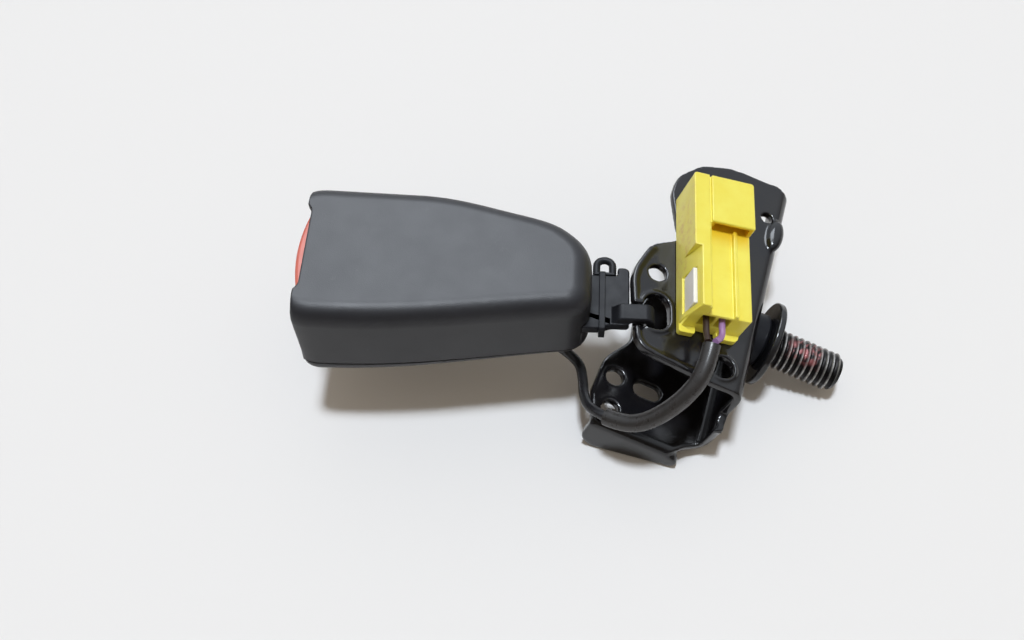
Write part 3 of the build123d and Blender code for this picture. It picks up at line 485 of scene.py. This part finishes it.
# %% [markdown]
# ## Painted amber shade, smudges and scuffs
#
# The connector's yellow is darkened to amber in the pocket under its shoulder; that amber is painted
# shade, standing for the shade in the recess. Its left face is smudged from handling. Both could be
# painted on a picture, but a box of values in the connector's own frame says where they are and stays
# sharp at any size. The casing has faint scuffs anywhere.

# %% Painted amber shade in the pocket, smudges and scuffs
# Painted shade: the amber stands for the shade in the recess under the connector's shoulder.
AMBER_SHADE = (0.78, 0.50, 0.012)
SMUDGE = (0.62, 0.33, 0.06)
SCUFF = (0.10, 0.10, 0.105)
POCKET_X = (5.4, 16.9)
POCKET_Y = (20.0, 31.2)
POCKET_FADE = (21.0, 27.0)
POCKET_Z = (9.0, 13.0)
LEFT_FACE_X = (-1.0, 0.3)
LEFT_FACE_Y = (12.0, 36.0)


def own_frame(tree, frame_matrix):
    """Object coordinates turned into a piece's own frame, split into X, Y and Z in metres."""
    spot = tree.nodes.new("ShaderNodeTexCoord")
    own = tree.nodes.new("ShaderNodeMapping")
    own.vector_type = "TEXTURE"
    own.inputs["Location"].default_value = frame_matrix.translation
    own.inputs["Rotation"].default_value = frame_matrix.to_euler()
    tree.links.new(spot.outputs["Object"], own.inputs["Vector"])
    parts = tree.nodes.new("ShaderNodeSeparateXYZ")
    tree.links.new(own.outputs["Vector"], parts.inputs["Vector"])
    return parts.outputs


def between(tree, value, places, soft):
    """One between two places in millimetres, fading to nothing over a soft edge."""
    low, high = places
    rise = remap(tree, value, (low - soft) * MM, (low + soft) * MM, 0.0, 1.0)
    fall = remap(tree, value, (high - soft) * MM, (high + soft) * MM, 1.0, 0.0)
    return product(tree, rise, fall)


def stain_or_shade(material, mask, color):
    """Lay a colour over a material where a pattern says."""
    tree = material.node_tree
    socket = tree.nodes["Principled BSDF"].inputs["Base Color"]
    tree.links.new(mix_colors(tree, mask, socket.links[0].from_socket, color), socket)


tree = connector_yellow.node_tree
own_x, own_y, own_z = own_frame(tree, connector_frame)
# Painted shade: the yellow is darkened to amber in the recess under the shoulder, fading in towards
# the shoulder.
shade = remap(tree, own_y, POCKET_FADE[0] * MM, POCKET_FADE[1] * MM, 0.0, 1.0)
shade = product(tree, shade, between(tree, own_y, POCKET_Y, 0.5))
pocket_shade = product(tree, shade, between(tree, own_z, POCKET_Z, 0.3))
pocket_shade = product(tree, pocket_shade, between(tree, own_x, POCKET_X, 0.3))
stain_or_shade(connector_yellow, pocket_shade, AMBER_SHADE)
smudges = remap(tree, pattern_noise(tree, 300.0, 4.0, 0.7), 0.5, 0.68, 0.0, 0.55)
left_face = product(
    tree, between(tree, own_x, LEFT_FACE_X, 0.1), between(tree, own_y, LEFT_FACE_Y, 4.0)
)
stain_or_shade(connector_yellow, product(tree, smudges, left_face), SMUDGE)
tree = casing_grain.node_tree
scuffs = remap(tree, pattern_noise(tree, 75.0, 9.0, 0.75), 0.62, 0.8, 0.0, 0.5)
stain_or_shade(casing_grain, scuffs, SCUFF)
print("The connector's finish has", len(connector_yellow.node_tree.nodes), "nodes")

# %% [markdown]
# ## Bolt finish
#
# The bolt is blackened steel that the thread-cutting die left dark in the roots, bright on the
# crests. How far a point is from the bolt's axis tells the two apart, so a Mapping node turns
# Object coordinates into the bolt's own frame. A band of pink locking compound is left on one side
# of the thread.

# %% Blackened steel with bright crests
STEEL_BLACK = (0.012, 0.011, 0.011)
CREST_BRIGHT = (0.66, 0.64, 0.62)
LOCKING_PINK = (0.34, 0.10, 0.10)
DARK_RADIUS = 5.1
BRIGHT_RADIUS = 5.5
PINK_X = (11.5, 20.5)
PINK_Z = (2.6, 4.2)


def bolt_steel(name):
    """Blackened steel in the bolt's frame."""
    material, tree, shader = new_material(name)
    own_x, own_y, own_z = own_frame(tree, bracket_frame)
    flat = tree.nodes.new("ShaderNodeCombineXYZ")
    tree.links.new(own_y, flat.inputs["Y"])
    tree.links.new(own_z, flat.inputs["Z"])
    radius = tree.nodes.new("ShaderNodeVectorMath")
    radius.operation = "LENGTH"
    tree.links.new(flat.outputs["Vector"], radius.inputs[0])
    wear = remap(tree, pattern_noise(tree, 900.0, 3.0, 0.6), 0.35, 0.65, 0.35, 1.0)
    crest = remap(tree, radius.outputs["Value"], DARK_RADIUS * MM, BRIGHT_RADIUS * MM, 0.0, 1.0)
    steel = mix_colors(tree, product(tree, crest, wear), STEEL_BLACK, CREST_BRIGHT)
    upper = remap(tree, own_z, PINK_Z[0] * MM, PINK_Z[1] * MM, 0.0, 1.0)
    smear = remap(tree, pattern_noise(tree, 420.0, 2.0), 0.45, 0.6, 0.0, 0.75)
    pink = product(tree, between(tree, own_x, PINK_X, 1.0), product(tree, upper, smear))
    tree.links.new(mix_colors(tree, pink, steel, LOCKING_PINK), shader.inputs["Base Color"])
    tree.links.new(remap(tree, pink, 0.0, 1.0, 0.85, 0.0), shader.inputs["Metallic"])
    tree.links.new(remap(tree, wear, 0.35, 1.0, 0.42, 0.26), shader.inputs["Roughness"])
    emboss(tree, shader, pattern_noise(tree, 3500.0), 0.4, 0.00001)
    return material


bolt_black = bolt_steel("blackened steel")
print("The bolt's finish has", len(bolt_black.node_tree.nodes), "nodes")

# %% [markdown]
# ## Pieces that keep their CAD shape
#
# Most of the mechanism is hidden in the casing, and the wires are small. Their CAD solids are
# already right, so they only get a finish.

# %% Finishes on CAD pieces
finishes = {
    guide_plastic: ["tongue_guide"],
    zinc_plate: ["buckle_frame", "frame_rivet", "lock_bar", "latch_pin", "latch"],
    acetal: ["ejector"],
    magnet_grey: ["ejector_magnet"],
    spring_wire: ["latch_spring"],
    switch_black: ["switch_housing", "switch_cap"],
    board_green: ["switch_board"],
    terminal_tin: ["connector_terminals"],
    cable_black: ["switch_lead"],
    grommet_rubber: ["lead_grommet"],
    strap_coat: ["spacer_bush"],
    wire_black: ["black_wire"],
    wire_lilac: ["lilac_wire"],
}
for finish, names in finishes.items():
    for name in names:
        nodes[name].data.materials.clear()
        nodes[name].data.materials.append(finish)
print(sum(map(len, finishes.values())), "CAD pieces keep their own shape and get a finish")

# %% [markdown]
# ## Pieces with softened edges
#
# No moulded or pressed piece has a knife edge. A copy of the CAD piece is cleaned, its flat faces
# are joined, its sharp edges get a weight, and a Bevel modifier rounds the edges that have one, so
# that they catch the light. A Weighted Normal modifier then keeps the flat faces flat.

# %% Copies with rounded edges
DOUBLES = 0.001
SHARP_ANGLE = 40.0


def link_piece(name, mesh, body, material, stands_for):
    """Put a finished mesh in the scene, on a body, in place of a CAD node."""
    mesh.materials.clear()
    mesh.materials.append(material)
    piece = bpy.data.objects.new(name, mesh)
    bpy.context.scene.collection.objects.link(piece)
    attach(piece, body)
    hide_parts(stands_for)
    return piece


def clean_copy(node, flat=0.5):
    """A bmesh of a CAD node, doubles merged and the faces joined that lie within flat degrees."""
    work = bmesh.new()
    work.from_mesh(nodes[node].data)
    bmesh.ops.remove_doubles(work, verts=work.verts, dist=DOUBLES * MM)
    bmesh.ops.dissolve_limit(
        work, angle_limit=math.radians(flat), verts=work.verts, edges=work.edges
    )
    return work


def to_mesh(work, name, sharp_angle=30.0):
    """Turn a bmesh into a mesh with smooth faces and sharp creases."""
    mesh = bpy.data.meshes.new(name)
    work.to_mesh(mesh)
    work.free()
    mesh.polygons.foreach_set("use_smooth", [True] * len(mesh.polygons))
    mesh.set_sharp_from_angle(angle=math.radians(sharp_angle))
    return mesh


def mark_sharp(work, spare=None):
    """Give the sharp edges a bevel weight, except those with a point that spare picks out."""
    weight = work.edges.layers.float.new("bevel_weight_edge")
    work.normal_update()
    for edge in work.edges:
        spared = spare and any(spare(vert.co) for vert in edge.verts)
        if edge.calc_face_angle(0.0) > math.radians(SHARP_ANGLE) and not spared:
            edge[weight] = 1.0


def softened(node, name, body, material, width, work=None, spare=None):
    """A copy of a CAD node with rounded edges, standing for it."""
    work = work or clean_copy(node)
    mark_sharp(work, spare)
    piece = link_piece(name, to_mesh(work, name), body, material, node)
    bevel = piece.modifiers.new("rounded edges", "BEVEL")
    bevel.width = width * MM
    bevel.segments = 2
    bevel.limit_method = "WEIGHT"
    bevel.use_clamp_overlap = False
    flatten = piece.modifiers.new("flat faces", "WEIGHTED_NORMAL")
    flatten.keep_sharp = True
    return piece


# %% [markdown]
# ## Casing
#
# The casing's open end is drawn in a little, and its lower corner is set back, as a moulding's
# mouth is where it meets the hand. The copy is sliced across near the mouth, so that there are
# points to move, and each point moves by how near it is to the mouth. At the rear, the corner of
# the strap's opening is too tight for a bevel and is left as it is.

# %% The casing's mouth
ROLL_LENGTH = 5.0
ROLL_DEPTH = 1.7
CHIN_SETBACK = 2.6
CHIN_LENGTH = 7.0
CHIN_HEIGHT = 12.0
MOUTH_SLICES = (0.4, 1.0, 1.8, 2.8, 3.9, ROLL_LENGTH, CHIN_LENGTH)
CASING_EDGE = 0.35


def rolled_mouth(node):
    """A copy of a casing half whose sides draw in towards the mouth."""
    work = clean_copy(node, 0.05)
    front = casing_low.x
    for depth in MOUTH_SLICES:
        geometry = work.verts[:] + work.edges[:] + work.faces[:]
        place = (front + depth * MM, 0, 0)
        bmesh.ops.bisect_plane(work, geom=geometry, plane_co=place, plane_no=(1, 0, 0))
    half_width = (casing_high.y - casing_low.y) / 2
    floor_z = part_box("lower_cover")[0].z
    for vert in work.verts:
        depth = (vert.co.x - front) / MM
        share = max(0.0, 1 - depth / ROLL_LENGTH)
        drop = 1 - math.sqrt(max(0.0, 1 - share * share))
        vert.co.y -= (vert.co.y - casing_middle_y) / half_width * ROLL_DEPTH * MM * drop
        low = max(0.0, 1 - (vert.co.z - floor_z) / (CHIN_HEIGHT * MM))
        vert.co.x += CHIN_SETBACK * MM * low**2 * max(0.0, 1 - depth / CHIN_LENGTH)
    return work


def at_gate_corner(place):
    """Where the strap's opening meets the casing's rear corner."""
    local = (place - rear_end) / MM
    return local.x > -4.5 and 6.5 < local.y < 9.0


casing_top = softened(
    "upper_cover",
    "casing_top",
    "buckle",
    casing_grain,
    CASING_EDGE,
    work=rolled_mouth("upper_cover"),
    spare=at_gate_corner,
)
casing_bottom = softened(
    "lower_cover",
    "casing_bottom",
    "buckle",
    casing_grain,
    CASING_EDGE,
    work=rolled_mouth("lower_cover"),
)
print("The casing's halves have", len(casing_top.data.polygons), len(casing_bottom.data.polygons))

# %% [markdown]
# ## Button, strap, washer and connector
#
# These keep their CAD shape and only get rounded edges: a generous one on the button, which a thumb
# presses, and fine ones on sheet metal and on the small connector. The apron at the connector's
# foot is so low that a bevel there would fold over, so its top is left as it is.

# %% Small pieces
APRON_HEIGHT = 2.0


def on_apron(place):
    """The top of the small apron at the connector's foot."""
    return abs((connector_frame.inverted() @ place).z / MM - APRON_HEIGHT) < 0.1


softened("release_button", "button", "button_body", button_red, 0.5)
softened("anchor_strap", "strap", "buckle", strap_coat, 0.35)
softened("strap_clip", "clip", "buckle", strap_coat, 0.15)
softened("captive_washer", "washer", "bolt_body", washer_black, 0.2)
softened("connector_housing", "connector", "buckle", connector_yellow, 0.25, spare=on_apron)
softened("connector_lock", "connector_catch", "connector_lock_body", lock_white, 0.2)

# %% [markdown]
# ## Springs
# In the buckle, the springs inside shorten when the button or the ejector is pushed. Each copy here
# is the cleaned CAD solid, standing for its node, and keeps its length. Each copy is squashed
# along its length by its joint, towards the end that stands still.

# %% Spring copies
for node, joint in (("button_springs", "button_press"), ("ejector_spring", "ejector_slide")):
    coil = to_mesh(clean_copy(node), node + "_coil")
    spring = link_piece(node + "_coil", coil, "buckle", spring_wire, node)
    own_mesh(spring)

# %% [markdown]
# ## Bracket
#
# The bracket is pressed steel under a thick dip coat that rounds every edge and corner. Its copy is
# turned level, remeshed in small cells, smoothed a little, and turned back: that does what the coat
# does, and it joins the pressed boss at the far corner to the sheet.

# %% The dip-coated bracket
COAT_CELL = 0.42
COAT_SMOOTHING = 3
BOSS_PLACE = (-2.3, 26.8, 12.1)
BOSS_SIZE = (2.5, 5.6, 2.1)


def add_boss(work):
    """Add the pressed boss, a flattened ball, in the bracket's frame."""
    place = Matrix.Translation(Vector(BOSS_PLACE) * MM)
    size = Matrix.Diagonal((*(Vector(BOSS_SIZE) * MM), 1))
    bmesh.ops.create_uvsphere(work, u_segments=32, v_segments=20, radius=1.0, matrix=place @ size)


def remeshed(work, cell):
    """The skin of a bmesh, made again from small cubes."""
    mesh = bpy.data.meshes.new("dipped bracket")
    work.to_mesh(mesh)
    work.free()
    rough = bpy.data.objects.new("dipped bracket", mesh)
    bpy.context.scene.collection.objects.link(rough)
    remesh = rough.modifiers.new("coat", "REMESH")
    remesh.mode = "VOXEL"
    remesh.voxel_size = cell * MM
    graph = bpy.context.evaluated_depsgraph_get()
    dressed = bpy.data.meshes.new_from_object(rough.evaluated_get(graph))
    bpy.data.objects.remove(rough)
    work = bmesh.new()
    work.from_mesh(dressed)
    bpy.data.meshes.remove(dressed)
    return work


work = clean_copy("anchor_bracket")
bmesh.ops.transform(work, verts=work.verts, matrix=bracket_frame.inverted())
add_boss(work)
work = remeshed(work, COAT_CELL)
for _ in range(COAT_SMOOTHING):
    bmesh.ops.smooth_vert(
        work, verts=work.verts, factor=0.5, use_axis_x=True, use_axis_y=True, use_axis_z=True
    )
bmesh.ops.transform(work, verts=work.verts, matrix=bracket_frame)
coated = to_mesh(work, "bracket", 180.0)
bracket = link_piece("bracket", coated, "buckle", dip_coat, "anchor_bracket")
print("The bracket has", len(bracket.data.polygons), "faces")

# %% [markdown]
# ## Thread
#
# The thread is one tooth's profile spun round the axis while it moves along by one pitch a turn.
# The end of each turn meets the start of the next, and merging the doubles joins them. A Screw
# modifier could do it too, but spin leaves a plain mesh that can be cut off and tapered at the tip.
# The spin starts before the thread and ends past the tip, so that both cuts go through whole turns
# and their rims close.

# %% Thread
BOLT_RADIUS = 5.55
PITCH = 1.81
THREAD_DEPTH = 0.95
SHANK_END = 7.2
THREAD_START = SHANK_END + 0.4
BOLT_TIP = 27.5
TIP_CHAMFER = 1.6
TIP_SLOPE = 0.75
STEPS = 48
TURNS = 13
LEAD_IN = 1.5


def spun_thread():
    """A threaded rod along +X, in millimetres, made by spinning one tooth."""
    work = bmesh.new()
    root = BOLT_RADIUS - THREAD_DEPTH
    tooth = [(0.0, root), (0.12, root), (0.44, BOLT_RADIUS)]
    tooth += [(1 - share, radius) for share, radius in reversed(tooth)]
    corners = [work.verts.new((share * PITCH, radius, 0)) for share, radius in tooth]
    edges = [work.edges.new(pair) for pair in zip(corners, corners[1:])]
    bmesh.ops.spin(
        work,
        geom=corners + edges,
        cent=(0, 0, 0),
        axis=(1, 0, 0),
        dvec=(PITCH / STEPS, 0, 0),
        angle=math.tau * TURNS,
        steps=STEPS * TURNS,
        use_merge=False,
        use_duplicate=False,
    )
    bmesh.ops.remove_doubles(work, verts=work.verts, dist=0.02)
    return work


def cut_off(work, place_x, outward):
    """Cut away what lies past a place on the X axis, and close the end."""
    geometry = work.verts[:] + work.edges[:] + work.faces[:]
    cut = bmesh.ops.bisect_plane(
        work,
        geom=geometry,
        plane_co=(place_x, 0, 0),
        plane_no=(outward, 0, 0),
        clear_outer=True,
    )
    rim = [part for part in cut["geom_cut"] if isinstance(part, bmesh.types.BMEdge)]
    bmesh.ops.contextual_create(work, geom=rim)


thread = spun_thread()
bmesh.ops.translate(thread, verts=thread.verts, vec=(THREAD_START - PITCH * LEAD_IN, 0, 0))
cut_off(thread, THREAD_START, -1)
cut_off(thread, BOLT_TIP, 1)
for vert in thread.verts:
    beyond = max(0.0, vert.co.x - (BOLT_TIP - TIP_CHAMFER))
    limit = BOLT_RADIUS - beyond * TIP_SLOPE
    radius = math.hypot(vert.co.y, vert.co.z)
    if radius > limit:
        vert.co.y *= limit / radius
        vert.co.z *= limit / radius
print("The thread has", len(thread.faces), "faces")

# %% [markdown]
# ## Head and shank
#
# The head and the plain shank are cut from the CAD bolt and end a little inside the thread. Both
# become one piece, which is scaled back to metres and turned into the bracket's tilt.

# %% Head, shank and thread in one piece
SHANK_OVERLAP = 0.3
bolt_work = clean_copy("anchor_bolt")
bmesh.ops.transform(bolt_work, verts=bolt_work.verts, matrix=bracket_frame.inverted())
bmesh.ops.scale(bolt_work, verts=bolt_work.verts, vec=(1 / MM,) * 3)
cut_off(bolt_work, THREAD_START + SHANK_OVERLAP, 1)
thread_mesh = bpy.data.meshes.new("thread")
thread.to_mesh(thread_mesh)
thread.free()
bolt_work.from_mesh(thread_mesh)
bpy.data.meshes.remove(thread_mesh)
bmesh.ops.scale(bolt_work, verts=bolt_work.verts, vec=(MM,) * 3)
bmesh.ops.transform(bolt_work, verts=bolt_work.verts, matrix=bracket_frame)
bmesh.ops.recalc_face_normals(bolt_work, faces=bolt_work.faces)
bolt_mesh = to_mesh(bolt_work, "bolt", 28.0)
bolt = link_piece("bolt", bolt_mesh, "bolt_body", bolt_black, "anchor_bolt")
print("The bolt has", len(bolt.data.polygons), "faces")

# %% [markdown]
# ## Cords
#
# The cable and its sleeve get their finishes here. The cable hangs from the casing to the sleeve, and
# the sleeve lies loose to the connector.

# %% Cords
cable.data.materials.append(cable_black)
sleeve.data.materials.append(sleeve_vinyl)

# %% [markdown]
# ## Sizes and finish
# The view layer is brought up to date, and the colours are shown through the Standard view transform.
# The finished scene's box is kept beside the CAD's, to show that no new piece stands out.

# %% Finish
bpy.context.view_layer.update()
bpy.context.scene.view_settings.view_transform = "Standard"
